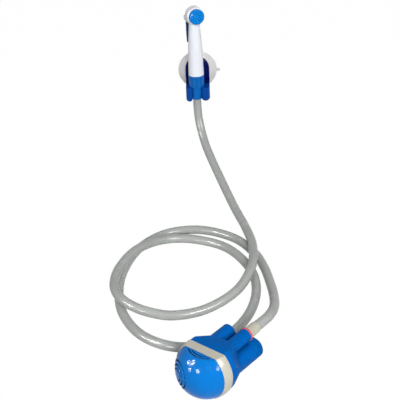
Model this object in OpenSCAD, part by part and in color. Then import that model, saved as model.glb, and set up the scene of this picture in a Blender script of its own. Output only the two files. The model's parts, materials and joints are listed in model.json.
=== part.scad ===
// Camp shower pump: a ball-shaped submersible pump, its hose, and a hand sprayer in a suction-cup holder.
// Millimetres, +Z up. The origin is on the floor under the pump axis, at the clamp band's front edge.
// The pump rests on its lower flat. The sprayer's holder is held by a wall on its +Y side.

/* [Pump ball] */
// Heading of the pump axis on the floor, in degrees from the X axis
pump_yaw = 52.4; // [40:0.1:65]
// Radius of the ball
ball_r = 34.5; // [34:0.5:37]
// Distance of the top and bottom flats from the pump axis
flat_h = 26.2; // [25.8:0.1:28]
// Length of the dome in front of the band
nose_len = 23.3; // [22:0.1:25]
// Wall of the dome
dome_wall = 2.4; // [2:0.2:3]
// Width of the clamp band
band_w = 12; // [11:0.5:14]
// How far the round part of the band stands proud of the ball
band_proud = 0.5; // [0.2:0.1:1]
// Depth of the band's seat below the ball's surface
band_seat = 2; // [1.6:0.1:2.4]
// Thickness of the flat gasket between dome and rear housing
gasket_t = 1; // [0.8:0.1:1.5]

/* [Intake slots] */
// Width of the curved intake slots
slot_w = 1.6; // [1.2:0.1:1.8]
// Radial step from one slot of the top flat to the next
slot_step = 3.2; // [3:0.1:3.6]
// Radius of the outer slot of the nose grille
grille_r = 15.4; // [14:0.1:16]
// Radial step from one slot of the nose grille to the next
grille_step = 4.2; // [3.8:0.1:4.4]
// Turn of the nose grille's centre towards the left, in degrees
grille_left = 31; // [24:1:33]
// Lift of the nose grille's centre, in degrees
grille_up = -1; // [-5:1:5]
// Width of the bridge across the nose grille
bridge_w = 2.4; // [2:0.2:3]
// Turn of that bridge from upright, in degrees
bridge_turn = 100; // [80:5:120]

/* [Rear housing] */
// Length of the straight collar behind the band
collar_len = 8; // [6:0.5:9]
// Place along the axis where the shoulder has narrowed to the three bosses
shoulder_end = 47; // [45:1:50]
// Diameter of the switch boss
switch_d = 18; // [17.5:0.5:20]
// Diameter of the outlet boss
outlet_d = 16.2; // [15.6:0.1:17]
// End of the switch boss along the axis
switch_end = 73; // [71:1:76]
// End of the outlet boss along the axis
outlet_end = 75.5; // [73:0.5:78]
// Wall of the battery cap
cap_wall = 1.4; // [1.2:0.1:1.8]
// End of the battery tube along the axis
tube_end = 75.5; // [75:0.5:78]
// Length of the battery cap
cap_len = 13.6; // [13.2:0.1:15]

/* [Pump inside] */
// Diameter of the impeller
impeller_d = 25; // [22:0.5:26]
// Number of impeller blades
blade_count = 6; // [4:1:8]
// Diameter of the motor shaft
shaft_d = 2; // [1.6:0.1:3]
// Diameter of the motor can
motor_d = 20; // [18:0.5:20.5]
// Length of the motor can
motor_len = 25; // [20:0.5:25.5]
// Diameter of the battery cell
cell_d = 18.4; // [17:0.1:18.8]
// Length of the battery cell
cell_len = 65; // [60:0.5:65.5]
// Diameter of the power button
button_d = 10; // [9:0.5:11]
// Travel of the power button
button_travel = 2; // [1:0.1:2.4]

/* [Hose] */
// Outer diameter of the hose
hose_d = 12; // [10:0.5:12]
// Length of the outlet fitting behind its ring
fitting_len = 17; // [14:0.5:20]

/* [Sprayer] */
// Place of the holder's cup across the part
spray_x = -3.8; // [-10:0.2:10]
// Place of the sprayer's handle axis behind the pump
spray_y = 501; // [495:1:510]
// Height of the lower end of the sprayer's nut
nut_z = 139; // [133:1:145]
// Turn of the sprayer in its holder, in degrees to the right
spray_yaw = 20; // [0:1:30]
// Diameter of the handle at its lower end
handle_low_d = 22.5; // [22:0.5:25]
// Diameter of the handle below the head
handle_top_d = 15; // [14.5:0.5:17]
// Height of the head's centre above the handle's lower end
head_rise = 89; // [84:1:95]
// Diameter of the white head
head_d = 25; // [24.5:0.5:28]
// Diameter of the spray face
face_d = 21.5; // [20:0.5:22]
// Length of the fluted nut
nut_len = 17; // [15:0.5:20]
// Length of the nut's tapered skirt
skirt_len = 20; // [18:0.5:23]
// Number of flutes round the nut
flute_count = 10; // [8:1:16]
// Diameter of the trigger pin
pin_d = 3; // [2:0.1:3.4]
// Thickness of the trigger lever
lever_t = 3; // [2.4:0.1:3.4]
// Width of the trigger lever
lever_w = 11; // [9:0.5:12]
// Length of the trigger lever below its pin
lever_len = 37; // [33:1:37]

/* [Holder and suction cup] */
// Turn of the holder on its cup, in degrees to the left
holder_lean = 2.1; // [0:0.1:4]
// Distance of the handle's axis to the left of the holder's middle
handle_left = 1.6; // [0:0.1:2]
// Width of the holder
holder_w = 34.6; // [33.6:0.2:38]
// Thickness of the holder's back plate
plate_t = 5; // [4:0.5:6]
// Height of the cradle
cradle_h = 22; // [20:0.5:24]
// Width of the cradle's front slot
cradle_slot = 12.4; // [12.2:0.2:13.4]
// Diameter of the suction cup
cup_d = 57; // [54:1:62]
// Depth of the suction cup behind the back plate
cup_depth = 20; // [17:0.5:24]

/* [Hidden] */
$fn = 64;
// Running clearance of a pin or shaft on its radius
run_gap = 0.05;
// Clearance of seated pieces on the radius
seat_gap = 0.1;
// Clearance between moving pieces
move_gap = 0.4;
// Overlap that lets a cut pass right through a face
cut = 1;

// Pump stations along its axis, from the front edge of the band
dome_cx = ball_r - nose_len;
front_r = sqrt(ball_r * ball_r - dome_cx * dome_cx);
flat_r = sqrt(ball_r * ball_r - flat_h * flat_h);
rim_r = front_r - band_seat;
rim_flat = flat_h - band_seat;
rim_wall = 2.6;
bay_r = rim_r - rim_wall;
bay_flat = rim_flat - rim_wall;
gasket_x0 = (band_w - gasket_t) / 2;
gasket_x1 = gasket_x0 + gasket_t;
filter_t = 1.2;
filter_x0 = gasket_x0 - filter_t;
ledge = 1.5;
collar_x1 = band_w + collar_len;
housing_inset = 0.3;

// Places of the bosses, to the left of the axis and above it
cell_bore = cell_d + 0.8;
spigot_wall = 1.7;
spigot_d = cell_bore + 2 * spigot_wall;
tube_d = spigot_d + 2 * cap_wall;
ring_d = 3;
spigot_bore = 11;
tube_floor_gap = 0.3;
tube_at = [-9.4, tube_d / 2 + tube_floor_gap - flat_h];
outlet_turn = 81;
ring_room = 0.5;
outlet_reach = tube_d / 2 + spigot_bore / 2 + ring_d + ring_room;
outlet_at = tube_at + outlet_reach * [cos(outlet_turn), sin(outlet_turn)];
switch_left = 21;
switch_drop = 2;
switch_at = outlet_at + [switch_left, -switch_drop];
motor_at = [ball_r / 4, 0];

// Pump chamber, from its cover to the back of its floor
cover_gap = 0.7;
cover_x0 = gasket_x1 + cover_gap;
cover_t = 1.8;
chamber_x0 = cover_x0 + cover_t;
blade_h = 2.2;
blade_t = 1.2;
blade_r = impeller_d / 4 - 0.5;
disc_t = 1;
floor_x0 = chamber_x0 + blade_h + disc_t + 2 * move_gap;
floor_t = 2.5;
floor_x1 = floor_x0 + floor_t;
chamber_r = impeller_d / 2 + 1.5;
volute_r = chamber_r + 1.6;
duct_d = 6;
duct_wall = 2.5;
eye_d = 10;
seal_d = 6;
motor_flat = motor_d - 2;
motor_x0 = floor_x1;
motor_x1 = motor_x0 + motor_len;
shaft_x0 = chamber_x0 + move_gap;
shaft_in = 12;
shaft_x1 = motor_x0 + shaft_in;
lug_d = 7;
lug_neck = 5.6;
lug_r = volute_r + 2;
lug_turn = [75, 175, 290];
screw_d = 2.4;
screw_head_d = 4.8;
screw_head_t = 0.6;
screw_bite = 2.4;

// Battery tube and its cap
spigot_len = 8;
cap_x0 = tube_end + move_gap;
cap_x1 = cap_x0 + cap_len;
cap_floor_t = 2.5;
cap_floor_x = cap_x1 - cap_floor_t;
contact_t = 1;
cell_x1 = cap_floor_x - contact_t - 0.1;
cell_x0 = cell_x1 - cell_len;
spring_room = 4;
cell_bore_x0 = cell_x0 - spring_room;
cap_seal_d = 1.2;
cap_seal_x = tube_end + 4;
cap_flutes = 24;
flute_d = 2;
flute_out = 0.6;
seam_edge = 0.7;
end_edge = 1.5;
terminal_d = 6;
terminal_h = 1.2;

// Power button in the switch boss
switch_bore = button_d + 3.6;
button_lip = 3;
button_flange_t = 2.5;
button_proud = button_travel + 1;
flange_x1 = switch_end - button_lip - 0.1;
flange_x0 = flange_x1 - button_flange_t;
button_spring_room = button_travel + 3.4;
module_x1 = flange_x0 - button_spring_room;
module_len = 16;
module_x0 = module_x1 - module_len;

// Outlet fitting
spigot_in = 14;
fitting_d0 = outlet_d - 1.6;
fitting_d1 = hose_d + 1.4;
fitting_x0 = outlet_end + ring_d;
fitting_x1 = fitting_x0 + fitting_len;
fitting_bore = 6;
hose_seat = 5;

// Sprayer stations above the floor
nut_seat_z = nut_z + skirt_len;
handle_z = nut_seat_z + nut_len;
head_z = handle_z + head_rise;
head_back = 7.6;
head_front = 8.5;
head_edge = 1;
face_t = 5.8;
face_edge = 1.5;
face_hollow = 3;
jet_step = 2.8;
jet_d = 1.1;
face_gasket_t = 1;
neck_z = head_z - 10;
foot_h = 40;
foot_taper = 2;
channel_d = 8;
nut_bore = 17;
washer_t = 1.5;
tail_flange_t = 2;
tail_d = 12;
skirt_d0 = 14.4;
skirt_d1 = 18;
nut_wall = 2.6;
tail_seat_z = nut_seat_z + nut_wall;
spigot_z = tail_seat_z + tail_flange_t + washer_t + seat_gap;

// Trigger and valve, behind the handle
pin_y = 18;
pin_z = head_z - 8;
ear_t = 2.4;
knuckle_d = pin_d + 4;
ear_gap = 0.3;
lever_bow = 4 * lever_len;
valve_drop = 16;
valve_z = pin_z - valve_drop;
stem_d = 4;
valve_bore = stem_d + 2 * run_gap;
valve_boss_d = 9.4;
valve_boss_y = 11.6;
valve_seal_d = 1.4;
valve_seal_r = stem_d / 2 + run_gap + valve_seal_d / 2;
valve_seal_y = valve_boss_y - 3;
valve_spring_y = -3.4;
valve_spring_len = 6;
valve_spring_r = 1.7;
valve_wire = 0.6;
stem_y0 = valve_spring_y + valve_spring_len;
stem_y1 = pin_y + knuckle_d / 2 - lever_t - move_gap;

// Holder and cup, behind the handle
plate_y0 = handle_low_d / 2 + 1.6;
plate_y1 = plate_y0 + plate_t;
plate_rise = 21;
plate_top = handle_z + plate_rise;
cup_drop = 6.5;
cup_z = handle_z - cup_drop;
cup_lip_y = plate_y1 + cup_depth;
cup_hub_d = 16;
cup_neck_d = 9;
cup_button_d = 14;
cup_button_t = 1.6;
cup_wall = 2.2;
cup_lip_w = 3;
cup_lip_t = 1.2;
cup_apex = 5;
bell_h = cup_depth - cup_lip_t - cup_apex;
bell_reach = cup_d / 2 - 1;
bell_r = (bell_reach * bell_reach + bell_h * bell_h) / (2 * bell_h);
hollow_h = cup_depth - cup_apex - cup_wall;
hollow_reach = cup_d / 2 - cup_lip_w;
hollow_r = (hollow_reach * hollow_reach + hollow_h * hollow_h) / (2 * hollow_h);
tab_w = 5;
tab_len = 5;
lobe_d = (holder_w - cradle_slot) / 2;
cradle_front = 11;
cradle_top = nut_seat_z - move_gap;
cradle_z = cradle_top - cradle_h;
foot_lift = 3;

// Hose route: straight out of the fitting, two loose turns on the floor, then up to the nut
hose_sides = 10;
hose_steps = 2;
hose_gap = 0.3;
hose_rise = 15;
hose_straight = 14;
fitting_up = flat_h + outlet_at[1];
pump_dir = [cos(pump_yaw), sin(pump_yaw), 0];
left_dir = [-sin(pump_yaw), cos(pump_yaw), 0];
hose_start = fitting_x1 * pump_dir + outlet_at[0] * left_dir + [0, 0, fitting_up];
lean_dir = [-sin(holder_lean), 0, cos(holder_lean)];
lean_side = [cos(holder_lean), 0, sin(holder_lean)];
hose_end = [spray_x, spray_y, cup_z] - handle_left * lean_side + (nut_z - hose_gap - cup_z) * lean_dir;
hose_points = [
    hose_start, hose_start + hose_straight * pump_dir,
    [80, 96.3, 33.6], [87.5, 122, 28.5], [90, 164, 17.5], [88, 207, 9.8],
    [83, 246, 6.7], [72, 283, 6.1], [46, 322, 6.1], [1, 344, 6.1],
    [-45, 335, 6.1], [-79, 299, 6.1], [-97, 248, 6.1], [-102, 196, 6.1],
    [-93, 139, 6.1], [-66, 93, 6.1], [-23, 72, 6.1], [24, 87, 6.1],
    [55, 130, 6.1], [70, 186, 6.1], [65, 242, 6.1], [36, 295, 6.1],
    [-10, 317, 7], [-52, 305, 12.5], [-84, 268, 19.2], [-102, 226, 19.8],
    [-107, 191, 19.8], [-102, 164, 19.6], [-86, 143, 17.8], [-61, 132, 13.6],
    [-30, 132, 9], [9, 149, 7.4], [46, 181, 13.2], [66, 228, 19.2],
    [69.5, 280, 19.4], [62, 328, 19.6], [47, 378, 26.5], [24, 439, 51.5],
    [10.5, 471, 70.5], [4, 487, 85], [-1, 496.5, 103],
    hose_end - hose_rise * lean_dir, hose_end
];

// Frames and shared shapes

// Pump frame: X rearward along the axis, Y to the left, Z up
module pump_frame() translate([0, 0, flat_h]) rotate([0, 0, pump_yaw]) children();

// Sprayer frame: handle on Z above the floor, spray face towards -Y
module spray_frame() holder_frame() translate([-handle_left, 0, 0]) rotate([0, 0, spray_yaw]) children();

// Holder frame: the wall is on the +Y side, and the holder is turned on its cup
module holder_frame()
    translate([spray_x, spray_y, cup_z])
        rotate([0, -holder_lean, 0])
            translate([0, 0, -cup_z])
                children();

// Cup frame: upright, on the cup's axis
module cup_frame() translate([spray_x, spray_y, 0]) children();

// Round section with a flat above and below
module section(r, flat)
    intersection() {
        circle(r);
        square([4 * r, 2 * flat], center = true);
    }

// Extrude a section drawn across the pump axis from x0 to x1
module along_x(x0, x1) translate([x0, 0, 0]) rotate([90, 0, 90]) linear_extrude(x1 - x0) children();

// Rod along the pump axis at a place across it
module rod(at, x0, x1, d, d_end = -1)
    translate([x0, at[0], at[1]])
        rotate([0, 90, 0])
            cylinder(d1 = d, d2 = d_end < 0 ? d : d_end, h = x1 - x0);

// Ring of round cross-section about Z
module ring(r, d) rotate_extrude() translate([r, 0]) circle(d = d);

function unit(v) = v / norm(v);

// Point on a smooth curve through four neighbouring points
function curve_point(a, b, c, d, t) =
    0.5 * (2 * b + (c - a) * t + (2 * a - 5 * b + 4 * c - d) * t * t + (3 * b - a - 3 * c + d) * t * t * t);

// Smooth curve through all points of a route, with a number of steps between neighbours
function smooth_route(p, steps) = [
    for (i = [0:len(p) - 2], s = [0:steps - 1])
        curve_point(p[max(i - 1, 0)], p[i], p[i + 1], p[min(i + 2, len(p) - 1)], s / steps),
    p[len(p) - 1]
];

// Tangent at each point of a route
function tangents(p) = [
    for (i = [0:len(p) - 1]) unit(p[min(i + 1, len(p) - 1)] - p[max(i - 1, 0)])
];

// Side vectors carried along a route without twist
function side_vectors(t) = [
    for (i = 0, v = unit(cross(t[0], [0.2, -0.1, 1]));
         i < len(t);
         i = i + 1, v = i < len(t) ? unit(v - (v * t[i]) * t[i]) : v) v
];

// Round tube swept along a route
module tube(p, d, sides) {
    t = tangents(p);
    u = side_vectors(t);
    points = [
        for (i = [0:len(p) - 1], k = [0:sides - 1])
            let (a = 360 * k / sides)
                p[i] + d / 2 * (cos(a) * u[i] + sin(a) * cross(t[i], u[i]))
    ];
    last = (len(p) - 1) * sides;
    faces = concat(
        [for (i = [0:len(p) - 2], k = [0:sides - 1])
            [i * sides + k, (i + 1) * sides + k, i * sides + (k + 1) % sides]],
        [for (i = [0:len(p) - 2], k = [0:sides - 1])
            [i * sides + (k + 1) % sides, (i + 1) * sides + k, (i + 1) * sides + (k + 1) % sides]],
        [for (k = [1:sides - 2]) [0, k, k + 1]],
        [for (k = [1:sides - 2]) [last, last + k + 1, last + k]]
    );
    polyhedron(points, faces);
}

// Points of a coil spring that stands on Z
function coil_points(r, height, turns, per_turn) = [
    for (i = [0:turns * per_turn])
        let (a = 360 * i / per_turn)
            [r * cos(a), r * sin(a), height * i / (turns * per_turn)]
];

// Coil spring of a wire between two faces at 0 and height
module coil_spring(r, wire, height, turns)
    translate([0, 0, wire / 2])
        tube(coil_points(r, height - wire, turns, 8), wire, 6);

// Pump ball

// One arc of intake slot in the top flat, round the ball's upright axis
module flat_slot(r)
    intersection() {
        translate([dome_cx, 0, 0]) difference() {
            cylinder(r = r + slot_w / 2, h = 2 * dome_wall + cut, center = true);
            cylinder(r = r - slot_w / 2, h = 2 * dome_wall + 2 * cut, center = true);
        }
        translate([-2 * ball_r - slot_w, -ball_r, -ball_r]) cube(2 * ball_r);
    }

// Ring slots of the nose grille, broken by one bridge across them
module nose_slots()
    translate([dome_cx, 0, 0])
        rotate([0, 0, -grille_left])
            rotate([0, grille_up, 0])
                rotate([0, -90, 0])
                    difference() {
                        for (i = [0:2])
                            translate([0, 0, ball_r / 2])
                                linear_extrude(ball_r)
                                    difference() {
                                        circle(grille_r - i * grille_step + slot_w / 2);
                                        circle(grille_r - i * grille_step - slot_w / 2);
                                    }
                        rotate([0, 0, bridge_turn])
                            cube([2 * ball_r, bridge_w, 4 * ball_r], center = true);
                    }

module intake_dome()
    color("#0578e1") pump_frame() difference() {
        union() {
            intersection() {
                translate([dome_cx, 0, 0]) sphere(ball_r);
                translate([-2 * ball_r, -2 * ball_r, -flat_h]) cube([2 * ball_r, 4 * ball_r, 2 * flat_h]);
            }
            along_x(-cut, gasket_x0) section(rim_r, rim_flat);
        }
        intersection() {
            translate([dome_cx, 0, 0]) sphere(ball_r - dome_wall);
            translate([-2 * ball_r - 2 * cut, -2 * ball_r, dome_wall - flat_h])
                cube([2 * ball_r, 4 * ball_r, 2 * (flat_h - dome_wall)]);
        }
        along_x(-3 * cut, filter_x0 + cut) section(bay_r - ledge, bay_flat - ledge);
        along_x(filter_x0, gasket_x0 + cut) section(bay_r, bay_flat);
        for (i = [1:2]) translate([0, 0, flat_h]) flat_slot(flat_r - i * slot_step);
        nose_slots();
    }

module intake_filter()
    color("#3c4650") pump_frame() difference() {
        along_x(filter_x0, gasket_x0) section(bay_r - seat_gap, bay_flat - seat_gap);
        for (ring_no = [0:4], k = [0:max(6 * ring_no - 1, 0)]) {
            at = 5.2 * ring_no * [cos(60 * k / max(ring_no, 1)), sin(60 * k / max(ring_no, 1))];
            if (abs(at[1]) < bay_flat - ledge - 2.5 && norm(at) < bay_r - ledge - 2.5)
                rod(at, filter_x0 - cut, gasket_x0 + cut, 3);
        }
    }

module clamp_band()
    color("#c8c4b6") pump_frame() difference() {
        intersection() {
            translate([dome_cx, 0, 0]) sphere(ball_r + band_proud);
            translate([0, -2 * ball_r, -flat_h]) cube([band_w, 4 * ball_r, 2 * flat_h]);
        }
        along_x(-cut, band_w + cut) section(rim_r + seat_gap, rim_flat + seat_gap);
    }

module main_gasket()
    color("#202020") pump_frame() difference() {
        along_x(gasket_x0, gasket_x1) section(rim_r, rim_flat);
        along_x(gasket_x0 - cut, gasket_x1 + cut) section(bay_r - ledge, bay_flat - ledge);
    }

// Rear housing

module rear_housing()
    color("#0055b9") pump_frame() difference() {
        union() {
            along_x(gasket_x1, band_w + cut) section(rim_r, rim_flat);
            along_x(band_w, collar_x1) section(ball_r - housing_inset, flat_h);
            hull() {
                along_x(collar_x1 - 0.2, collar_x1) section(ball_r - housing_inset, flat_h, $fn = 48);
                for (b = [[switch_at, switch_d], [outlet_at, outlet_d], [tube_at, tube_d]])
                    rod(b[0], shoulder_end - 0.2, shoulder_end, b[1] - 1.2, $fn = 32);
            }
            rod(switch_at, collar_x1, switch_end, switch_d);
            rod(outlet_at, collar_x1, outlet_end, outlet_d);
            rod(tube_at, collar_x1, tube_end - seam_edge, tube_d);
            rod(tube_at, tube_end - seam_edge, tube_end, tube_d, tube_d - 2 * seam_edge);
            rod(tube_at, tube_end - cut, tube_end + spigot_len, spigot_d);
        }
        along_x(gasket_x1 - cut, floor_x1) section(bay_r, bay_flat);
        rod(motor_at, floor_x1 - cut, motor_x1 + 0.5, motor_d + 2 * seat_gap);
        rod(outlet_at, floor_x1 - cut, outlet_end, duct_d);
        rod(outlet_at, outlet_end - spigot_in - 0.5, outlet_end + cut, spigot_bore);
        rod(tube_at, cell_bore_x0, tube_end + spigot_len + cut, cell_bore);
        rod(switch_at, module_x0, switch_end - button_lip, switch_bore);
        rod(switch_at, module_x0, switch_end + cut, button_d + 2 * run_gap);
        for (a = lug_turn)
            rod(lug_at(a), floor_x1 - cut, floor_x1 + screw_bite + seat_gap, screw_d + 2 * run_gap);
        translate([cap_seal_x, tube_at[0], tube_at[1]])
            rotate([0, 90, 0])
                ring(spigot_d / 2 + seat_gap - cap_seal_d / 2, cap_seal_d + 2 * run_gap);
    }

// Pump chamber

function lug_at(a) = motor_at + lug_r * [cos(a), sin(a)];
duct_way = outlet_at - motor_at;
duct_turn = atan2(duct_way[1], duct_way[0]);

// Outline of the pump chamber with its outlet arm and screw lugs
module volute_outline() {
    translate(motor_at) circle(volute_r);
    translate(outlet_at) circle(duct_d / 2 + duct_wall);
    translate(motor_at)
        rotate(duct_turn)
            translate([0, -duct_d / 2 - 1.5])
                square([norm(duct_way), duct_d + 3]);
    for (a = lug_turn) {
        translate(lug_at(a)) circle(d = lug_d);
        translate(motor_at) rotate(a) translate([0, -lug_neck / 2]) square([lug_r, lug_neck]);
    }
}

module volute_cover()
    color("#d8dade") pump_frame() difference() {
        along_x(cover_x0, chamber_x0) volute_outline();
        rod(motor_at, cover_x0 - cut, chamber_x0 + cut, eye_d);
        for (a = lug_turn) rod(lug_at(a), cover_x0 - cut, chamber_x0 + cut, screw_d + 2 * run_gap);
    }

module volute_body()
    color("#c4c8ce") pump_frame() difference() {
        along_x(chamber_x0, floor_x1) volute_outline();
        rod(motor_at, chamber_x0 - cut, floor_x0, 2 * chamber_r);
        rod(motor_at, floor_x0 - cut, floor_x1 + cut, seal_d);
        rod(outlet_at, chamber_x0 + 0.6, floor_x1 + cut, duct_d);
        translate([chamber_x0 + 0.6, motor_at[0], motor_at[1]])
            rotate([duct_turn, 0, 0])
                translate([0, chamber_r - 2, -duct_d / 2 + 0.5])
                    cube([floor_x0 - chamber_x0 - 0.6, norm(duct_way) - chamber_r + 2, duct_d - 1]);
        for (a = lug_turn) rod(lug_at(a), chamber_x0 - cut, floor_x1 + cut, screw_d + 2 * run_gap);
    }

// One screw through the chamber's cover and body
module volute_screw(a)
    color("#b9bcc0") pump_frame() {
        rod(lug_at(a), cover_x0 - screw_head_t, cover_x0, screw_head_d);
        rod(lug_at(a), cover_x0 - screw_head_t / 2, floor_x1 + screw_bite, screw_d);
    }

module volute_screw_1() volute_screw(lug_turn[0]);
module volute_screw_2() volute_screw(lug_turn[1]);
module volute_screw_3() volute_screw(lug_turn[2]);

// One curved blade, seen along the shaft
module blade_outline()
    intersection() {
        difference() {
            translate([0, blade_r]) circle(blade_r);
            translate([0, blade_r]) circle(blade_r - blade_t);
        }
        square([impeller_d, impeller_d / 2]);
    }

module impeller()
    color("#1e6fd0") pump_frame() difference() {
        union() {
            rod(motor_at, floor_x0 - move_gap - disc_t, floor_x0 - move_gap, impeller_d);
            rod(motor_at, shaft_x0, floor_x0 - move_gap, shaft_d + 5);
            translate([0, motor_at[0], motor_at[1]])
                along_x(shaft_x0, floor_x0 - move_gap - disc_t / 2)
                    for (k = [0:blade_count - 1]) rotate(360 * k / blade_count) blade_outline();
        }
        rod(motor_at, shaft_x0 - cut, floor_x0 + cut, shaft_d);
    }

module motor_shaft() color("#c8ccd2") pump_frame() rod(motor_at, shaft_x0, shaft_x1, shaft_d);

module shaft_seal()
    color("#262626") pump_frame() difference() {
        rod(motor_at, floor_x0, floor_x1, seal_d);
        rod(motor_at, floor_x0 - cut, floor_x1 + cut, shaft_d + 2 * run_gap);
    }

module motor()
    color("#9aa0a6") pump_frame() difference() {
        union() {
            rod(motor_at, motor_x0, motor_x1 - 4, motor_d);
            rod(motor_at, motor_x1 - 4.5, motor_x1, motor_d - 2);
        }
        rod(motor_at, motor_x0 - cut, shaft_x1 + 0.4, shaft_d + 2 * run_gap);
        for (s = [-1, 1])
            translate([motor_x0 - cut, motor_at[0] - motor_d, motor_at[1] + s * motor_flat - motor_d / 2])
                cube([2, 2 * motor_d, motor_d]);
    }

// Battery and its cap

module battery_cell()
    color("#3a8f4a") pump_frame() {
        rod(tube_at, cell_x0, cell_x1 - terminal_h, cell_d);
        rod(tube_at, cell_x1 - terminal_h - 0.5, cell_x1, terminal_d);
    }

module contact_spring()
    color("#c9a84a") pump_frame()
        translate([cell_bore_x0, tube_at[0], tube_at[1]])
            rotate([0, 90, 0])
                coil_spring(5, 0.9, spring_room, 4);

module battery_cap()
    color("#0a6fcf") pump_frame() difference() {
        union() {
            rod(tube_at, cap_x0, cap_x0 + seam_edge, tube_d - 2 * seam_edge, tube_d);
            rod(tube_at, cap_x0 + seam_edge, cap_x1 - end_edge, tube_d);
            rod(tube_at, cap_x1 - end_edge, cap_x1, tube_d, tube_d - 2 * end_edge);
        }
        rod(tube_at, cap_x0 - cut, cap_floor_x, spigot_d + 2 * seat_gap);
        for (k = [0:cap_flutes - 1])
            translate([cap_x0 + 5, tube_at[0], tube_at[1]])
                rotate([360 * k / cap_flutes, 0, 0])
                    translate([0, tube_d / 2 + flute_out, 0])
                        rotate([0, 90, 0])
                            cylinder(d = flute_d, h = cap_len);
    }

module cap_contact()
    color("#c9a84a") pump_frame() rod(tube_at, cap_floor_x - contact_t, cap_floor_x, cell_d - 3);

module cap_seal()
    color("#202020") pump_frame()
        translate([cap_seal_x, tube_at[0], tube_at[1]])
            rotate([0, 90, 0])
                ring(spigot_d / 2 + seat_gap - cap_seal_d / 2 - run_gap, cap_seal_d);

// Power button

module power_button()
    color("#d2d6da") pump_frame() {
        rod(switch_at, flange_x0, flange_x1, switch_bore - 2 * seat_gap);
        rod(switch_at, flange_x1 - cut, switch_end + button_proud - 1, button_d);
        rod(switch_at, switch_end + button_proud - 1, switch_end + button_proud, button_d, button_d - 2);
    }

module button_spring()
    color("#b9bcc0") pump_frame()
        translate([module_x1, switch_at[0], switch_at[1]])
            rotate([0, 90, 0])
                coil_spring(button_d / 2 - 1, 0.8, button_spring_room, 3);

module switch_module()
    color("#2a2c30") pump_frame() {
        rod(switch_at, module_x0, module_x1, switch_bore - 2 * seat_gap);
        rod(switch_at, module_x1 - cut, module_x1 + 1, 4);
    }

// Outlet

module outlet_fitting()
    color("#bec0b4") pump_frame() difference() {
        union() {
            rod(outlet_at, outlet_end - spigot_in, fitting_x0 + cut, spigot_bore - 2 * seat_gap);
            rod(outlet_at, fitting_x0, fitting_x0 + 3, fitting_d0);
            rod(outlet_at, fitting_x0 + 3, fitting_x1, fitting_d0 - 0.4, fitting_d1);
        }
        rod(outlet_at, outlet_end - spigot_in - cut, fitting_x1 - hose_seat, fitting_bore);
    }

module outlet_o_ring()
    color("#d74b3c") pump_frame()
        translate([outlet_end + ring_d / 2, outlet_at[0], outlet_at[1]])
            rotate([0, 90, 0])
                ring(spigot_bore / 2 + ring_d / 2, ring_d);

// Hose

hose_route = smooth_route(hose_points, hose_steps);
fine_route = smooth_route(hose_points, 4);
hose_pieces = [for (i = [1:len(fine_route) - 1]) norm(fine_route[i] - fine_route[i - 1])];
hose_length = hose_pieces * [for (piece = hose_pieces) 1];
hose_self_gap = min([
    for (i = [0:len(fine_route) - 1], j = [i + 20:1:len(fine_route) - 1])
        norm(fine_route[i] - fine_route[j])
]) - hose_d;
echo(hose_length = hose_length, hose_self_gap = hose_self_gap);

module hose() color("#a0a3a0") tube(hose_route, hose_d, hose_sides);

// Sprayer

// Handle and head outline, without its hollows
module handset_form() {
    translate([0, 0, spigot_z]) cylinder(d = nut_bore - 2 * seat_gap, h = handle_z - spigot_z + cut);
    translate([0, 0, handle_z]) cylinder(d1 = handle_low_d, d2 = handle_low_d - foot_taper, h = foot_h);
    translate([0, 0, handle_z + foot_h])
        cylinder(d1 = handle_low_d - foot_taper, d2 = handle_top_d, h = neck_z - handle_z - foot_h);
    translate([0, 0, neck_z - cut]) cylinder(d = handle_top_d, h = head_z - neck_z + cut);
    translate([0, 0, head_z]) rotate([90, 0, 0]) head_form();
    translate([0, 0, valve_z]) rotate([-90, 0, 0]) cylinder(d = valve_boss_d, h = valve_boss_y);
    for (s = [-1, 1])
        translate([s * (lever_w / 2 + ear_gap + ear_t / 2), 0, pin_z])
            rotate([0, 90, 0])
                linear_extrude(ear_t, center = true) {
                    translate([0, pin_y]) circle(d = knuckle_d);
                    translate([-knuckle_d / 2, 0]) square([knuckle_d, pin_y]);
                }
}

// Round head: a rounded back, a straight rim and a flat front
module head_form()
    rotate_extrude()
        intersection() {
            polygon([
                [0, -head_back], [head_d / 2, -head_back], [head_d / 2, head_front - head_edge],
                [head_d / 2 - head_edge, head_front], [0, head_front]
            ]);
            translate([0, head_d * 0.55 - head_back]) circle(head_d * 0.62);
        }

module handset_body()
    color("#f5f7fc") spray_frame() difference() {
        handset_form();
        translate([0, 0, spigot_z - cut]) cylinder(d = channel_d, h = head_z - spigot_z + cut);
        translate([0, -head_front - cut, head_z])
            rotate([-90, 0, 0])
                cylinder(d = face_d - 4, h = head_front + cut);
        translate([0, 0, valve_z]) rotate([-90, 0, 0]) cylinder(d = valve_bore, h = valve_boss_y + cut);
        translate([0, valve_seal_y, valve_z])
            rotate([-90, 0, 0])
                ring(valve_seal_r, valve_seal_d + 2 * run_gap);
        translate([0, pin_y, pin_z])
            rotate([0, 90, 0])
                cylinder(d = pin_d, h = 2 * lever_w, center = true);
    }

module spray_face()
    color("#057ddc") spray_frame()
        translate([0, -head_front - face_gasket_t, head_z]) rotate([90, 0, 0]) difference() {
            union() {
                cylinder(d = face_d, h = face_t - face_edge);
                translate([0, 0, face_t - face_edge])
                    cylinder(d1 = face_d, d2 = face_d - 2 * face_edge, h = face_edge);
            }
            translate([0, 0, -cut]) cylinder(d = face_d - 5, h = face_hollow + cut);
            for (n = [1:3], k = [0:6 * n - 1])
                rotate(60 * k / n)
                    translate([jet_step * n, 0, 0])
                        cylinder(d = jet_d, h = face_t + cut);
        }

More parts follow.
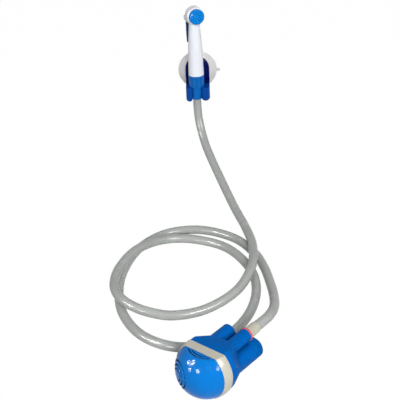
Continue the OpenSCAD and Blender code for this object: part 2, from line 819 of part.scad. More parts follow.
module face_gasket()
    color("#303030") spray_frame()
        translate([0, -head_front, head_z]) rotate([90, 0, 0]) difference() {
            cylinder(d = face_d - 1, h = face_gasket_t);
            translate([0, 0, -cut]) cylinder(d = face_d - 4, h = face_gasket_t + 2 * cut);
        }

// Lever seen from the side: a knuckle on the pin and a curved arm down the back of the handle
module lever_outline() {
    circle(d = knuckle_d);
    difference() {
        intersection() {
            translate([-lever_bow, -lever_len / 3]) circle(lever_bow + knuckle_d / 2);
            translate([-2 * knuckle_d, -lever_len]) square([4 * knuckle_d, lever_len]);
        }
        translate([-lever_bow, -lever_len / 3]) circle(lever_bow + knuckle_d / 2 - lever_t);
    }
}

module trigger_lever()
    color("#0a3f86") spray_frame()
        translate([0, pin_y, pin_z]) difference() {
            rotate([90, 0, 90]) linear_extrude(lever_w, center = true) lever_outline();
            rotate([0, 90, 0]) cylinder(d = pin_d + 2 * run_gap, h = 2 * lever_w, center = true);
        }

module trigger_pin()
    color("#b9bcc0") spray_frame()
        translate([0, pin_y, pin_z])
            rotate([0, 90, 0])
                cylinder(d = pin_d, h = lever_w + 2 * (ear_gap + ear_t), center = true);

module valve_stem()
    color("#d8dade") spray_frame()
        translate([0, stem_y0, valve_z]) rotate([-90, 0, 0]) cylinder(d = stem_d, h = stem_y1 - stem_y0);

module valve_spring()
    color("#b9bcc0") spray_frame()
        translate([0, valve_spring_y, valve_z])
            rotate([-90, 0, 0])
                coil_spring(valve_spring_r, valve_wire, valve_spring_len, 4);

module valve_seal()
    color("#202020") spray_frame()
        translate([0, valve_seal_y, valve_z]) rotate([-90, 0, 0]) ring(valve_seal_r, valve_seal_d);

// Nut, tail and washer below the handle

module hose_nut()
    color("#0a55a5") spray_frame() difference() {
        union() {
            translate([0, 0, nut_seat_z]) cylinder(d = handle_low_d, h = nut_len - seat_gap);
            translate([0, 0, nut_z]) cylinder(d1 = skirt_d0, d2 = skirt_d1, h = skirt_len);
        }
        translate([0, 0, nut_z - cut]) cylinder(d = tail_d, h = skirt_len + nut_len);
        translate([0, 0, tail_seat_z]) cylinder(d = nut_bore, h = nut_len);
        for (k = [0:flute_count - 1])
            rotate(360 * k / flute_count)
                translate([handle_low_d / 2 + flute_out, 0, nut_seat_z + flute_d])
                    cylinder(d = flute_d + 0.6, h = nut_len - 2 * flute_d);
    }

module hose_tail()
    color("#c9a84a") spray_frame() difference() {
        union() {
            translate([0, 0, nut_z + 1]) cylinder(d = tail_d - 2 * seat_gap, h = skirt_len + nut_wall - 1);
            translate([0, 0, tail_seat_z]) cylinder(d = nut_bore - 2 * seat_gap, h = tail_flange_t);
        }
        translate([0, 0, nut_z]) cylinder(d = tail_d - 4, h = skirt_len + nut_len);
    }

module nut_washer()
    color("#202020") spray_frame()
        translate([0, 0, tail_seat_z + tail_flange_t]) difference() {
            cylinder(d = nut_bore - 2 * seat_gap, h = washer_t);
            translate([0, 0, -cut]) cylinder(d = tail_d - 3, h = washer_t + 2 * cut);
        }

// Holder and suction cup

// One side of the cradle: a round lobe in front and the web that joins it to the back plate
module lobe(s, d) {
    translate([s * (holder_w - d) / 2, d / 2 - cradle_front, cradle_z + d / 2]) {
        cylinder(d = d, h = cradle_h - d / 2);
        sphere(d = d);
    }
    translate([min(s, 0) * holder_w / 2, d / 2 - cradle_front, cradle_z + foot_lift])
        cube([holder_w / 2, plate_y1 + cradle_front - d / 2, cradle_h - foot_lift]);
}

module wall_holder()
    color("#004ba5") holder_frame() difference() {
        union() {
            translate([0, plate_y1, 0]) rotate([90, 0, 0]) linear_extrude(plate_t) {
                translate([-holder_w / 2, cradle_z])
                    square([holder_w, plate_top - holder_w / 2 - cradle_z]);
                translate([0, plate_top - holder_w / 2]) circle(holder_w / 2);
            }
            lobe(-1, lobe_d - handle_left);
            lobe(1, lobe_d + handle_left);
        }
        translate([-handle_left, 0, cradle_z - cut])
            cylinder(d = skirt_d1 + 2 * move_gap, h = cradle_h + 2 * cut);
        translate([-handle_left - cradle_slot / 2, -holder_w, cradle_z - cut])
            cube([cradle_slot, holder_w, cradle_h + 2 * cut]);
        translate([0, plate_y0 - cut, cup_z]) rotate([-90, 0, 0]) {
            cylinder(d = cup_neck_d + 2 * seat_gap, h = plate_t + 2 * cut);
            cylinder(d = cup_button_d + 1, h = cup_button_t + 0.4 + cut);
        }
    }

// Half section of the suction cup: hub, bell, flat lip and hollow, from the back plate to the wall
module cup_profile()
    difference() {
        union() {
            square([cup_hub_d / 2, cup_apex + cup_wall]);
            intersection() {
                translate([0, cup_apex + bell_r]) circle(bell_r, $fn = 128);
                square([cup_d / 2, cup_depth - cup_lip_t / 2]);
            }
            translate([0, cup_depth - cup_lip_t]) square([cup_d / 2, cup_lip_t]);
        }
        intersection() {
            translate([0, cup_apex + cup_wall + hollow_r]) circle(hollow_r, $fn = 128);
            square([cup_d / 2 - cup_lip_w, cup_depth + cut]);
        }
    }

module suction_cup()
    color("#cdc8c6") cup_frame() {
        translate([0, plate_y1, cup_z]) rotate([-90, 0, 0]) rotate_extrude() cup_profile();
        translate([0, plate_y0 + 0.4, cup_z]) rotate([-90, 0, 0]) {
            cylinder(d = cup_button_d, h = cup_button_t);
            cylinder(d = cup_neck_d, h = plate_t);
        }
        translate([cup_d / 2 - 1.5, cup_lip_y - cup_lip_t, cup_z - tab_w / 2])
            cube([tab_len + 1.5 - tab_w / 2, cup_lip_t, tab_w]);
        translate([cup_d / 2 + tab_len - tab_w / 2, cup_lip_y - cup_lip_t, cup_z])
            rotate([-90, 0, 0])
                cylinder(d = tab_w, h = cup_lip_t);
    }

intake_dome();
intake_filter();
clamp_band();
main_gasket();
rear_housing();
volute_cover();
volute_body();
volute_screw_1();
volute_screw_2();
volute_screw_3();
impeller();
motor_shaft();
shaft_seal();
motor();
battery_cell();
contact_spring();
battery_cap();
cap_contact();
cap_seal();
power_button();
button_spring();
switch_module();
outlet_fitting();
outlet_o_ring();
hose();
handset_body();
spray_face();
face_gasket();
trigger_lever();
trigger_pin();
valve_stem();
valve_spring();
valve_seal();
hose_nut();
hose_tail();
nut_washer();
wall_holder();
suction_cup();
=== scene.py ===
import json
import math

import bmesh
import bpy
from mathutils import Matrix, Vector


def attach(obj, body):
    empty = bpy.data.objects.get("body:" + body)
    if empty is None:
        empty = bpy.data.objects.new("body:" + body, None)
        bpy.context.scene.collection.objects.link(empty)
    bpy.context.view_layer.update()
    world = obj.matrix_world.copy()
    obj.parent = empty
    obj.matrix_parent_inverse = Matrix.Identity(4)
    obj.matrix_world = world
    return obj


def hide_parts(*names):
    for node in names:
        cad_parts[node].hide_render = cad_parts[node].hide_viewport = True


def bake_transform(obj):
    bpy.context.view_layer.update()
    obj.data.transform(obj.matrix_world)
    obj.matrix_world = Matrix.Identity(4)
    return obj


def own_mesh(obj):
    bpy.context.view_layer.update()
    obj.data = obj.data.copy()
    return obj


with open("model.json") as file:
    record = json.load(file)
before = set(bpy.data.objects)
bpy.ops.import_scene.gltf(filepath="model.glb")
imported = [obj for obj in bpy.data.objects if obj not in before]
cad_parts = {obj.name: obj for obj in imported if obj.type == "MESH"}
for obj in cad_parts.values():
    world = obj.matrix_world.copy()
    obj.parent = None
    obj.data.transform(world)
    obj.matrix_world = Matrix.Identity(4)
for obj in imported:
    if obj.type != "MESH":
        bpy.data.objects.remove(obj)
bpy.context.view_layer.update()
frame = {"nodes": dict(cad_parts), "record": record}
nodes = frame["nodes"]
scene = bpy.context.scene
MM = 0.001


# Camera

camera_data = bpy.data.cameras.new("camera")
camera_data.sensor_width = 36
camera_data.lens = 90
camera_data.clip_start = 0.02
camera_data.clip_end = 60
camera = bpy.data.objects.new("camera", camera_data)
camera.location = (-0.0002, -0.8631, 0.695)
camera.rotation_euler = (math.radians(62), 0, 0)
scene.collection.objects.link(camera)
scene.camera = camera


# Places in the part's frame, the same as in the solids: lengths in mm, vectors in metres

PUMP_YAW = math.radians(52.4)
PUMP_UP = 26.2
BALL_AT = 11.2
OUTLET_LEFT, OUTLET_UP = -6.01, 8.23
SWITCH_LEFT, SWITCH_UP = 14.99, 6.23
CELL_LEFT, CELL_UP = -9.4, -13.2
HOLDER_LEAN = math.radians(2.1)
HANDLE_LEFT = 1.6
SPRAY_YAW = math.radians(20)
cup_centre = Vector((-0.0038, 0.501, 0.1695))
pump_dir = Vector((math.cos(PUMP_YAW), math.sin(PUMP_YAW), 0))
left_dir = Vector((-math.sin(PUMP_YAW), math.cos(PUMP_YAW), 0))
up = Vector((0, 0, 1))
lean_dir = Vector((-math.sin(HOLDER_LEAN), 0, math.cos(HOLDER_LEAN)))


def in_pump(along, left, height):
    """A point in metres, from its place in mm along the pump's axis, to its left and above it."""
    return (along * pump_dir + left * left_dir + (height + PUMP_UP) * up) * MM


def in_sprayer(x, y, z):
    """A point in metres, from its place in mm in the sprayer, upright and facing -Y."""
    turned = Matrix.Rotation(SPRAY_YAW, 3, "Z") @ Vector((x, y, z - cup_centre.z / MM))
    leaning = Matrix.Rotation(-HOLDER_LEAN, 3, "Y") @ (turned - Vector((HANDLE_LEFT, 0, 0)))
    return cup_centre + leaning * MM


# Meshes

def mesh_object(name, bm, smooth_angle=None):
    """An object from a bmesh, shaded smooth, with edges over the angle kept sharp."""
    mesh = bpy.data.meshes.new(name)
    bm.normal_update()
    bm.to_mesh(mesh)
    bm.free()
    mesh.polygons.foreach_set("use_smooth", [True] * len(mesh.polygons))
    if smooth_angle:
        mesh.set_sharp_from_angle(angle=math.radians(smooth_angle))
    obj = bpy.data.objects.new(name, mesh)
    scene.collection.objects.link(obj)
    return obj


# A direction that no hose or wire starts along, to find its first side
TUBE_ASIDE = Vector((0.2, -0.1, 1))


def sweep(name, route, radius, sides):
    """A closed round tube along a route, with UVs round it and along it in metres, and its length."""
    bm = bmesh.new()
    uv = bm.loops.layers.uv.new("UVMap")
    last = len(route) - 1
    rings = []
    along = [0.0]
    side = None
    for i, p in enumerate(route):
        tangent = (route[min(i + 1, last)] - route[max(i - 1, 0)]).normalized()
        side = tangent.cross(TUBE_ASIDE) if side is None else side - tangent * side.dot(tangent)
        side.normalize()
        other = tangent.cross(side)
        angles = (2 * math.pi * k / sides for k in range(sides))
        rings.append([bm.verts.new(p + radius * (math.cos(a) * side + math.sin(a) * other)) for a in angles])
        if i:
            along.append(along[-1] + (p - route[i - 1]).length)
    for i in range(last):
        for k in range(sides):
            corners = ((k, i), (k + 1, i), (k + 1, i + 1), (k, i + 1))
            face = bm.faces.new([rings[v][u % sides] for u, v in corners])
            for loop, (u, v) in zip(face.loops, corners):
                loop[uv].uv = (u / sides, along[v])
    bm.faces.new(list(reversed(rings[0])))
    bm.faces.new(rings[-1])
    return mesh_object(name, bm, smooth_angle=60), along[-1]


# Hose: one length through the same points as the solid, its diameter and straight runs in metres

HOSE_D = 0.012
FITTING_END = 95.5
NUT_FOOT = 138.7
START_RUN, END_RUN = 0.014, 0.015
hose_start = in_pump(FITTING_END, OUTLET_LEFT, OUTLET_UP)
hose_end = in_sprayer(0, 0, NUT_FOOT)
hose_points = [hose_start, hose_start + START_RUN * pump_dir] + [
    Vector(p) * MM
    for p in (
        (80, 96.3, 33.6), (87.5, 122, 28.5), (90, 164, 17.5), (88, 207, 9.8),
        (83, 246, 6.7), (72, 283, 6.1), (46, 322, 6.1), (1, 344, 6.1),
        (-45, 335, 6.1), (-79, 299, 6.1), (-97, 248, 6.1), (-102, 196, 6.1),
        (-93, 139, 6.1), (-66, 93, 6.1), (-23, 72, 6.1), (24, 87, 6.1),
        (55, 130, 6.1), (70, 186, 6.1), (65, 242, 6.1), (36, 295, 6.1),
        (-10, 317, 7), (-52, 305, 12.5), (-84, 268, 19.2), (-102, 226, 19.8),
        (-107, 191, 19.8), (-102, 164, 19.6), (-86, 143, 17.8), (-61, 132, 13.6),
        (-30, 132, 9), (9, 149, 7.4), (46, 181, 13.2), (66, 228, 19.2),
        (69.5, 280, 19.4), (62, 328, 19.6), (47, 378, 26.5), (24, 439, 51.5),
        (10.5, 471, 70.5), (4, 487, 85), (-1, 496.5, 103),
    )
] + [hose_end - END_RUN * lean_dir, hose_end]


def smooth_route(points, steps):
    """A smooth curve through all the points, with a number of steps from each to the next."""
    route = []
    last = len(points) - 1
    for i in range(last):
        a, b, c, d = (points[min(max(i + k, 0), last)] for k in (-1, 0, 1, 2))
        for t in (s / steps for s in range(steps)):
            square = (2 * a - 5 * b + 4 * c - d) * t * t
            cube = (3 * b - a - 3 * c + d) * t ** 3
            route.append(0.5 * (2 * b + (c - a) * t + square + cube))
    route.append(points[last])
    return route


hose_route = smooth_route(hose_points, steps=12)
hose, hose_length = sweep("hose_tube", hose_route, HOSE_D / 2, sides=32)
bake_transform(hose)
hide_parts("hose")


# Springs: round wire coils between the faces they press on

CONTACT_AT = 16.9
BUTTON_AT = 62.0
VALVE_FRONT, VALVE_UP = -3.4, 241
TURN_STEPS = 28
WIRE_SIDES = 10
COIL_ASIDE = Vector((0.3, 0.2, 1))


def coil(base, axis, radius, wire, height, turns):
    """Points of a coil that stands on a base point along an axis."""
    side = axis.cross(COIL_ASIDE).normalized()
    other = axis.cross(side)
    count = turns * TURN_STEPS
    points = []
    for i in range(count + 1):
        angle = 2 * math.pi * turns * i / count
        rise = wire / 2 + (height - wire) * i / count
        points.append(base + axis * rise + radius * (math.cos(angle) * side + math.sin(angle) * other))
    return points


def spring(name, node, body, base, axis, radius, wire, height, turns):
    """A coil in place of a node's plain tube, with its sizes in mm."""
    points = coil(base, axis, radius * MM, wire * MM, height * MM, turns)
    obj, _ = sweep(name, points, wire * MM / 2, WIRE_SIDES)
    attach(obj, body)
    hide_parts(node)
    return obj


push_dir = (in_sprayer(0, -1, 0) - in_sprayer(0, 0, 0)).normalized()
contact_base = in_pump(CONTACT_AT, CELL_LEFT, CELL_UP)
button_base = in_pump(BUTTON_AT, SWITCH_LEFT, SWITCH_UP)
valve_base = in_sprayer(0, VALVE_FRONT, VALVE_UP)
contact_coil = spring(
    "contact_coil", "contact_spring", "pump", contact_base, pump_dir,
    radius=5, wire=0.9, height=4, turns=4,
)
button_coil = spring(
    "button_coil", "button_spring", "pump", button_base, pump_dir,
    radius=4, wire=0.8, height=5.4, turns=3,
)
valve_coil = spring(
    "valve_coil", "valve_spring", "handset", valve_base, -push_dir,
    radius=1.7, wire=0.6, height=6, turns=4,
)
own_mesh(button_coil)
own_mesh(valve_coil)


# Suction cup, in mm: its front lies behind cup_centre, and depths are measured from that front

CUP_FRONT = 17.85
CUP_SIDES = 128
HUB_R, HUB_FACE, HUB_EDGE = 8.0, 0.1, 0.6
SHOULDER_DEPTH, SHOULDER_R = 4.2, 1.6
OUTER_BELL = {"reach": 27.4, "depth": 13.6, "base": 5.0}
INNER_BELL = {"reach": 25.4, "depth": 12.8, "base": 7.2}
BELL_STEPS = 28
BELL_FROM = 9.2
BEAD_CENTRE, BEAD_R = (27.8, 19.2), 0.7
TAB_ROOT, TAB_REACH, TAB_HALF = 26.6, 31.0, 2.4
# Tongue and raised grip of the tab: from and to depth, how far it is drawn in, and its share of the width
TAB_LAYERS = ((18.8, 19.9, 0.0, 1.0), (18.4, 18.9, 0.6, 0.5667))
BUTTON_SIDES = 48
# Button in the back plate and its neck: from and to depth, and the radius at each
BUTTON_LAYERS = ((-4.6, -3.0, 6.6, 7.0), (-3.0, 0.3, 4.45, 4.45))


def arc_points(centre, radius, start, end, count):
    """Points of an arc between two angles in degrees."""
    angles = (math.radians(start + (end - start) * k / count) for k in range(count + 1))
    return [(centre[0] + radius * math.cos(a), centre[1] + radius * math.sin(a)) for a in angles]


def bell(reach, depth, base):
    """Points of a shallow bell from its axis to its rim, each a radius and a depth."""
    radius = (reach * reach + depth * depth) / (2 * depth)
    radii = (reach * k / BELL_STEPS for k in range(BELL_STEPS + 1))
    return [(r, base + radius - math.sqrt(radius * radius - r * r)) for r in radii]


def ring(bm, radius, depth, sides):
    """Vertices of a circle round the cup's axis, or the one vertex on it."""
    if not radius:
        return [bm.verts.new((0, depth * MM, 0))]
    angles = (2 * math.pi * k / sides for k in range(sides))
    reach = radius * MM
    return [bm.verts.new((reach * math.cos(a), depth * MM, reach * math.sin(a))) for a in angles]


def close_prism(bm, foot, roof):
    """Faces of a closed solid between two outlines."""
    bm.faces.new(foot)
    bm.faces.new(list(reversed(roof)))
    for k in range(len(foot)):
        n = (k + 1) % len(foot)
        bm.faces.new((foot[n], foot[k], roof[k], roof[n]))


def turned_bell(bm):
    """Hub, soft shoulder, bell, bead at the lip and the hollow behind, turned round the cup's axis."""
    hub_edge = arc_points((HUB_R - HUB_EDGE, HUB_FACE + HUB_EDGE), HUB_EDGE, -90, 0, 4)
    shoulder = arc_points((HUB_R + SHOULDER_R, SHOULDER_DEPTH), SHOULDER_R, 180, 125, 5)
    outer = [(r, d) for r, d in bell(**OUTER_BELL) if r > BELL_FROM]
    bead = arc_points(BEAD_CENTRE, BEAD_R, -60, 90, 8)
    inner = list(reversed(bell(**INNER_BELL)))
    profile = [(0.0, HUB_FACE)] + hub_edge + shoulder + outer + bead + inner
    rings = [ring(bm, r, d, CUP_SIDES) for r, d in profile]
    for one, two in zip(rings, rings[1:]):
        for k in range(CUP_SIDES):
            n = (k + 1) % CUP_SIDES
            corners = [one[0]] if len(one) == 1 else [one[k], one[n]]
            corners += [two[0]] if len(two) == 1 else [two[n], two[k]]
            bm.faces.new(corners)


def pull_tab(bm):
    """Flat tongue with a round end, and a raised grip on it."""
    round_end = arc_points((TAB_REACH, 0), TAB_HALF, -90, 90, 14)
    outline = [(TAB_ROOT, -TAB_HALF)] + round_end + [(TAB_ROOT, TAB_HALF)]
    for low, high, inward, width in TAB_LAYERS:
        foot, roof = (
            [bm.verts.new(((x - inward) * MM, depth * MM, z * width * MM)) for x, z in outline]
            for depth in (low, high)
        )
        close_prism(bm, foot, roof)


def suction_cup():
    bm = bmesh.new()
    turned_bell(bm)
    pull_tab(bm)
    for low, high, low_r, high_r in BUTTON_LAYERS:
        close_prism(bm, ring(bm, low_r, low, BUTTON_SIDES), ring(bm, high_r, high, BUTTON_SIDES))
    bmesh.ops.recalc_face_normals(bm, faces=bm.faces)
    bmesh.ops.translate(bm, verts=bm.verts, vec=cup_centre + Vector((0, CUP_FRONT * MM, 0)))
    obj = mesh_object("cup_bell", bm, smooth_angle=40)
    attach(obj, "pump")
    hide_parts("suction_cup")
    return obj


cup = suction_cup()


# Rear housing: the same solid, with its shoulder shaded as one soft surface

# Vertices nearer than this are joined, in mm
WELD = 0.01
SOFT_ANGLE = 32


def soft_normals(mesh, angle):
    """Shade each corner with the mean of the faces round it that turn less than the angle from its face."""
    limit = math.cos(math.radians(angle))
    bm = bmesh.new()
    bm.from_mesh(mesh)
    normals = []
    for face in bm.faces:
        for loop in face.loops:
            near = (n for n in loop.vert.link_loops if n.face.normal.dot(face.normal) > limit)
            mean = sum((n.face.normal * n.calc_angle() for n in near), Vector())
            normals.append(mean.normalized() if mean.length else face.normal.copy())
    bm.free()
    mesh.normals_split_custom_set(normals)


def housing_shell():
    solid = nodes["rear_housing"]
    bm = bmesh.new()
    bm.from_mesh(solid.data)
    bmesh.ops.transform(bm, matrix=solid.matrix_world, verts=bm.verts)
    bmesh.ops.remove_doubles(bm, verts=bm.verts, dist=WELD * MM)
    obj = mesh_object("housing_shell", bm)
    soft_normals(obj.data, SOFT_ANGLE)
    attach(obj, "pump")
    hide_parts("rear_housing")
    return obj


housing = housing_shell()


# Materials

# Most of a noise's values lie between these two
SPREAD = (0.3, 0.7)


def linear(r, g, b):
    """Linear colour from 0-255 screen values."""
    return tuple((c / 255 / 12.92) if c <= 10 else ((c / 255 + 0.055) / 1.055) ** 2.4 for c in (r, g, b))


def tone(colour, factor):
    """A lighter or darker tone of a colour."""
    return tuple(min(c * factor, 1.0) for c in colour)


class Tree:
    """A short way to add nodes and links to one material."""

    def __init__(self, name):
        self.material = bpy.data.materials.new(name)
        self.material.use_nodes = True
        self.tree = self.material.node_tree
        self.shader = self.tree.nodes["Principled BSDF"]
        self.coords = self.add("TexCoord").outputs["Object"]

    def add(self, kind, **values):
        node = self.tree.nodes.new("ShaderNode" + kind)
        for key, value in values.items():
            setattr(node, key, value)
        return node

    def link(self, a, b):
        self.tree.links.new(a, b)

    def feed(self, name, value):
        """Link a value to one of the shader's inputs."""
        self.link(value, self.shader.inputs[name])

    def set(self, **values):
        """Set the shader's inputs to constants."""
        for name, value in values.items():
            self.shader.inputs[name.replace("_", " ")].default_value = value

    def noise(self, scale, detail=3.0, stretch=None, rough=0.5, coords=None):
        source = coords or self.coords
        if stretch:
            mapping = self.add("Mapping")
            mapping.inputs["Scale"].default_value = stretch
            self.link(source, mapping.inputs["Vector"])
            source = mapping.outputs["Vector"]
        node = self.add("TexNoise")
        node.inputs["Scale"].default_value = scale
        node.inputs["Detail"].default_value = detail
        node.inputs["Roughness"].default_value = rough
        self.link(source, node.inputs["Vector"])
        return node.outputs["Fac"]

    def ramp(self, value, low, high, to_low=0.0, to_high=1.0):
        node = self.add("MapRange")
        ends = {"From Min": low, "From Max": high, "To Min": to_low, "To Max": to_high}
        for name, number in ends.items():
            node.inputs[name].default_value = number
        self.link(value, node.inputs["Value"])
        return node.outputs["Result"]

    def math(self, operation, a, b):
        node = self.add("Math", operation=operation)
        for socket, value in zip(node.inputs, (a, b)):
            if isinstance(value, (int, float)):
                socket.default_value = value
            else:
                self.link(value, socket)
        return node.outputs[0]

    def mix(self, factor, a, b):
        node = self.add("Mix", data_type="RGBA")
        self.link(factor, node.inputs["Factor"])
        for socket, value in ((node.inputs[6], a), (node.inputs[7], b)):
            if isinstance(value, tuple):
                socket.default_value = (*value, 1)
            else:
                self.link(value, socket)
        return node.outputs[2]

    def cloudy(self, noise, colour, dark, light):
        """A colour that drifts between a darker and a lighter tone of itself."""
        return self.mix(self.ramp(noise, *SPREAD), tone(colour, dark), tone(colour, light))

    def bump(self, height, strength, depth, normal=None):
        """Small relief from a height, its depth in mm, on top of another normal where one is given."""
        node = self.add("Bump")
        node.inputs["Strength"].default_value = strength
        node.inputs["Distance"].default_value = depth * MM
        self.link(height, node.inputs["Height"])
        if normal:
            self.link(normal, node.inputs["Normal"])
        self.feed("Normal", node.outputs["Normal"])


# Radius of a rubbed edge, in mm
EDGE_ROUND = 0.5
GRAIN_SCALE = 900


def moulded(name, colour, rough=0.3, spec=0.3, vary=0.07, grain=0.08, wear=0.3, worn=None, corner_shade=0.3,
            reach=4, extra=None):
    """Moulded plastic or rubber: cloudy colour, fine grain, rubbed edges, painted shade in corners and
    recesses, and faint scuffs.
    """
    t = Tree(name)
    base = t.cloudy(t.noise(28, 4.0), colour, 1 - vary, 1 + vary)
    if extra:
        base = extra(t, base)
    rounded = t.add("Bevel", samples=4)
    rounded.inputs["Radius"].default_value = EDGE_ROUND * MM
    dot = t.add("VectorMath", operation="DOT_PRODUCT")
    t.link(rounded.outputs["Normal"], dot.inputs[0])
    t.link(t.add("NewGeometry").outputs["Normal"], dot.inputs[1])
    edges = t.ramp(dot.outputs["Value"], 0.94, 0.78)
    patches = t.ramp(t.noise(420, 2.0), 0.35, 0.65, 0.25, 1.0)
    rub = t.math("MULTIPLY", edges, patches)
    base = t.mix(t.math("MULTIPLY", rub, wear), base, worn or tone(colour, 1.5))
    # Painted shade: ambient occlusion within reach (in mm) darkens corners and recesses towards a dark tone
    # of the colour
    corner_shade_ao = t.add("AmbientOcclusion", samples=4, only_local=True)
    corner_shade_ao.inputs["Distance"].default_value = reach * MM
    corners = t.ramp(corner_shade_ao.outputs["AO"], 0.92, 0.45, 0.0, corner_shade)
    t.feed("Base Color", t.mix(corners, base, tone(colour, 0.35)))
    scuff = t.noise(60, 5.0, stretch=(1.0, 9.0, 3.0), rough=0.7)
    shine = t.ramp(scuff, 0.35, 0.75, max(rough - 0.06, 0.05), rough + 0.1)
    t.feed("Roughness", t.math("ADD", shine, t.math("MULTIPLY", rub, 0.12)))
    relief = t.math("ADD", t.noise(GRAIN_SCALE, 2.0), t.math("MULTIPLY", scuff, 0.5))
    t.bump(relief, grain, depth=0.15, normal=rounded.outputs["Normal"])
    t.set(Specular_IOR_Level=spec)
    return t.material


def metal(name, colour, rough=0.3):
    """Metal with fine drawn lines and dull patches."""
    t = Tree(name)
    lines = t.noise(40, 4.0, stretch=(8.0, 8.0, 120.0), rough=0.65)
    t.feed("Base Color", t.cloudy(t.noise(60, 3.0), colour, 0.82, 1.08))
    t.feed("Roughness", t.ramp(lines, *SPREAD, rough - 0.1, rough + 0.14))
    t.bump(lines, 0.12, depth=0.05)
    t.set(Metallic=1.0)
    return t.material


def hose_material():
    """Extruded grey vinyl: long faint draw lines, slow tone changes, dusty patches and soft gloss."""
    t = Tree("hose_vinyl")
    draw = t.noise(1.0, 3.0, stretch=(44, 7, 1), coords=t.add("TexCoord").outputs["UV"])
    colour = linear(174, 177, 174)
    base = t.cloudy(t.noise(16, 3.0), colour, 0.93, 1.06)
    base = t.mix(t.ramp(draw, 0.35, 0.75, 0.0, 0.4), base, tone(colour, 0.78))
    dust = t.ramp(t.noise(60, 4.0), 0.54, 0.72, 0.0, 0.18)
    t.feed("Base Color", t.mix(dust, base, linear(196, 195, 188)))
    shine = t.ramp(t.noise(40, 3.0), *SPREAD, 0.19, 0.25)
    t.feed("Roughness", t.math("ADD", shine, t.math("MULTIPLY", dust, 0.5)))
    t.bump(t.math("ADD", draw, t.noise(160, 2.0)), 0.015, depth=0.1)
    t.set(Specular_IOR_Level=0.15)
    return t.material


def clear_vinyl():
    """Soft clear vinyl: milky, with slow flow marks and a little dust."""
    t = Tree("cup_vinyl")
    cloud = t.noise(30, 3.0)
    base = t.cloudy(cloud, linear(226, 225, 225), 0.96, 1.03)
    dust = t.ramp(t.noise(70, 3.0), 0.58, 0.78, 0.0, 0.15)
    t.feed("Base Color", t.mix(dust, base, linear(226, 222, 216)))
    t.feed("Roughness", t.ramp(cloud, *SPREAD, 0.3, 0.4))
    t.bump(t.noise(40, 2.0), 0.04, depth=0.2)
    t.set(Transmission_Weight=0.3, IOR=1.2, Specular_IOR_Level=0.2)
    return t.material


# Where the painted shade on the holder deepens towards its back, in metres along Y
SHADE_FROM, SHADE_TO = 0.503, 0.5135


def painted_back_shade(t, base):
    """Painted shade: a darker tone in the deep back of the holder, behind the handle."""
    place = t.add("SeparateXYZ")
    t.link(t.coords, place.inputs["Vector"])
    return t.mix(t.ramp(place.outputs["Y"], SHADE_FROM, SHADE_TO), base, linear(2, 12, 82))


looks = {
    "bright_blue": moulded(
        "dome_plastic", linear(1, 117, 203), rough=0.12, spec=0.08, grain=0.03, corner_shade=0.85),
    # Painted light: the spray face is the dome's plastic, given a lighter copy of its blue
    "lit_face_blue": moulded("lit_face_plastic", linear(2, 136, 228), rough=0.2, spec=0.08, corner_shade=0.6),
    # The housing's painted shade reaches 11 mm, so that the valleys between its bosses go dark
    "deep_blue": moulded(
        "housing_plastic", linear(1, 99, 186), rough=0.36, spec=0.012, corner_shade=0.7, reach=11),
    "cap_blue": moulded("cap_plastic", linear(2, 98, 178), rough=0.36, spec=0.012, corner_shade=1.0),
    "lever_blue": moulded("lever_plastic", linear(12, 66, 124), rough=0.34, spec=0.1),
    "nut_blue": moulded("nut_plastic", linear(3, 105, 190), rough=0.2, spec=0.12, corner_shade=1.0),
    "holder_blue": moulded("holder_plastic", linear(1, 72, 158), rough=0.22, spec=0.08, extra=painted_back_shade),
    "warm_grey": moulded(
        "band_plastic", linear(196, 193, 178), rough=0.26, spec=0.18, wear=0.12, corner_shade=0.2),
    "pale_plastic": moulded("pale_plastic", linear(208, 211, 214), rough=0.4, spec=0.3, wear=0.15),
    "white_plastic": moulded(
        "handle_plastic", linear(240, 243, 250), rough=0.22, spec=0.16, vary=0.02, wear=0.05,
        worn=linear(248, 248, 246), corner_shade=0.18),
    "dark_plastic": moulded("dark_plastic", linear(24, 52, 98), rough=0.5, spec=0.2),
    "black_rubber": moulded("black_rubber", linear(34, 34, 35), rough=0.62, spec=0.25, grain=0.2),
    "red_rubber": moulded("red_rubber", linear(222, 72, 55), rough=0.45, spec=0.25, wear=0.1),
    "cell_wrap": moulded("cell_wrap", linear(62, 148, 84), rough=0.25, spec=0.4),
    "steel": metal("drawn_steel", linear(205, 207, 210), rough=0.28),
    "motor_can": metal("motor_can", linear(178, 182, 188), rough=0.36),
    "contact_metal": metal("contact_metal", linear(214, 184, 108), rough=0.32),
    "hose_grey": hose_material(),
    "clear_vinyl": clear_vinyl(),
}


def paint(obj, look):
    obj.data.materials.clear()
    obj.data.materials.append(looks[look])


for part in frame["record"]["subparts"]:
    paint(nodes[part["node"]], part["material_slot"])
# The spray face takes the lighter copy of the dome's blue, as painted light
paint(nodes["spray_face"], "lit_face_blue")
paint(hose, "hose_grey")
paint(cup, "clear_vinyl")
paint(housing, "deep_blue")
paint(contact_coil, "contact_metal")
paint(button_coil, "steel")
paint(valve_coil, "steel")


# Floor, background and light

WHITE = (1, 1, 1, 1)
FLOOR_TONE = (0.5, 0.5, 0.5, 1)
FLOOR_GLOW = 1.035
GLOW_SHARE = 0.95
FLOOR_HALF = 8
FLOOR_DROP = 0.0002
ROOM_LIGHT = 0.34
ROOM_WHITE = 1.0


def seen_rays(tree):
    """1 for a ray that shows the background, straight, mirrored or through something clear, and else 0."""
    path = tree.nodes.new("ShaderNodeLightPath")
    seen = path.outputs["Is Camera Ray"]
    for ray in ("Is Glossy Ray", "Is Transmission Ray"):
        either = tree.nodes.new("ShaderNodeMath")
        either.operation = "MAXIMUM"
        tree.links.new(seen, either.inputs[0])
        tree.links.new(path.outputs[ray], either.inputs[1])
        seen = either.outputs[0]
    return seen


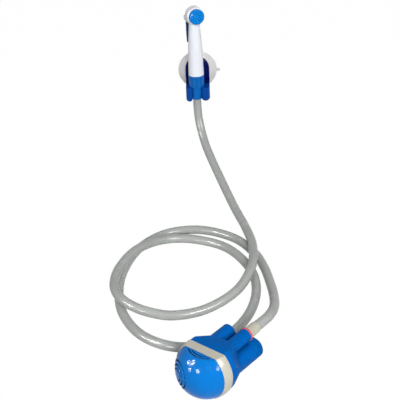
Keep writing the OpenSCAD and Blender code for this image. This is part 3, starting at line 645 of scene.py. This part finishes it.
def pale_floor():
    """Pale studio floor: white where it is looked at or mirrored, with a soft shadow under the object."""
    t = Tree("studio_floor")
    t.set(Base_Color=FLOOR_TONE, Roughness=0.9, Specular_IOR_Level=0.0)
    glow = t.add("Emission")
    glow.inputs["Color"].default_value = WHITE
    glow.inputs["Strength"].default_value = FLOOR_GLOW
    mixer = t.add("MixShader")
    t.link(t.math("MULTIPLY", seen_rays(t.tree), GLOW_SHARE), mixer.inputs["Fac"])
    t.link(t.shader.outputs["BSDF"], mixer.inputs[1])
    t.link(glow.outputs["Emission"], mixer.inputs[2])
    t.link(mixer.outputs["Shader"], t.tree.nodes["Material Output"].inputs["Surface"])
    return t.material


floor_mesh = bpy.data.meshes.new("floor")
corners = [(x * FLOOR_HALF, y * FLOOR_HALF, 0) for x, y in ((-1, -1), (1, -1), (1, 1), (-1, 1))]
floor_mesh.from_pydata(corners, [], [(0, 1, 2, 3)])
floor = bpy.data.objects.new("floor", floor_mesh)
floor.location.z = -FLOOR_DROP
floor.data.materials.append(pale_floor())
scene.collection.objects.link(floor)

world = bpy.data.worlds.new("studio")
scene.world = world
world.use_nodes = True
sky_tree = world.node_tree
sky = sky_tree.nodes["Background"]
sky.inputs["Color"].default_value = WHITE
level = sky_tree.nodes.new("ShaderNodeMapRange")
level.inputs["To Min"].default_value = ROOM_LIGHT
level.inputs["To Max"].default_value = ROOM_WHITE
sky_tree.links.new(seen_rays(sky_tree), level.inputs["Value"])
sky_tree.links.new(level.outputs["Result"], sky.inputs["Strength"])


def lamp(name, place, target, size, power):
    data = bpy.data.lights.new(name, "AREA")
    data.shape = "RECTANGLE"
    data.size, data.size_y = size
    data.energy = power
    obj = bpy.data.objects.new(name, data)
    obj.location = place
    obj.rotation_euler = (Vector(target) - Vector(place)).to_track_quat("-Z", "Y").to_euler()
    scene.collection.objects.link(obj)
    return obj


# Two groups of window panes, left and right, that only show as glints
PANE_FAR = 1.3
PANE_TALL = 1.3
ball_centre = in_pump(BALL_AT, 0, 0)
for name, toward, size, power in (
    ("left_far", (-0.911, -0.145, 0.386), 0.22, 19),
    ("left_high", (-0.76, -0.336, 0.557), 0.3, 40),
    ("left_low", (-0.88, -0.429, 0.206), 0.2, 12),
    ("left_near", (-0.513, -0.799, 0.313), 0.22, 19),
    ("right_high", (0.738, -0.394, 0.548), 0.28, 34),
    ("right_low", (0.65, -0.647, 0.398), 0.2, 14),
):
    place = ball_centre + PANE_FAR * Vector(toward)
    pane = lamp(name, place, ball_centre, (size, size * PANE_TALL), power)
    pane.visible_diffuse = False

# One soft light from behind and above the camera, that shows in no reflection
key = lamp("key", (0.3, -1.6, 1.13), (0, 0.15, 0.06), (0.8, 0.8), 39)
key.visible_glossy = False

scene.view_settings.view_transform = "Standard"
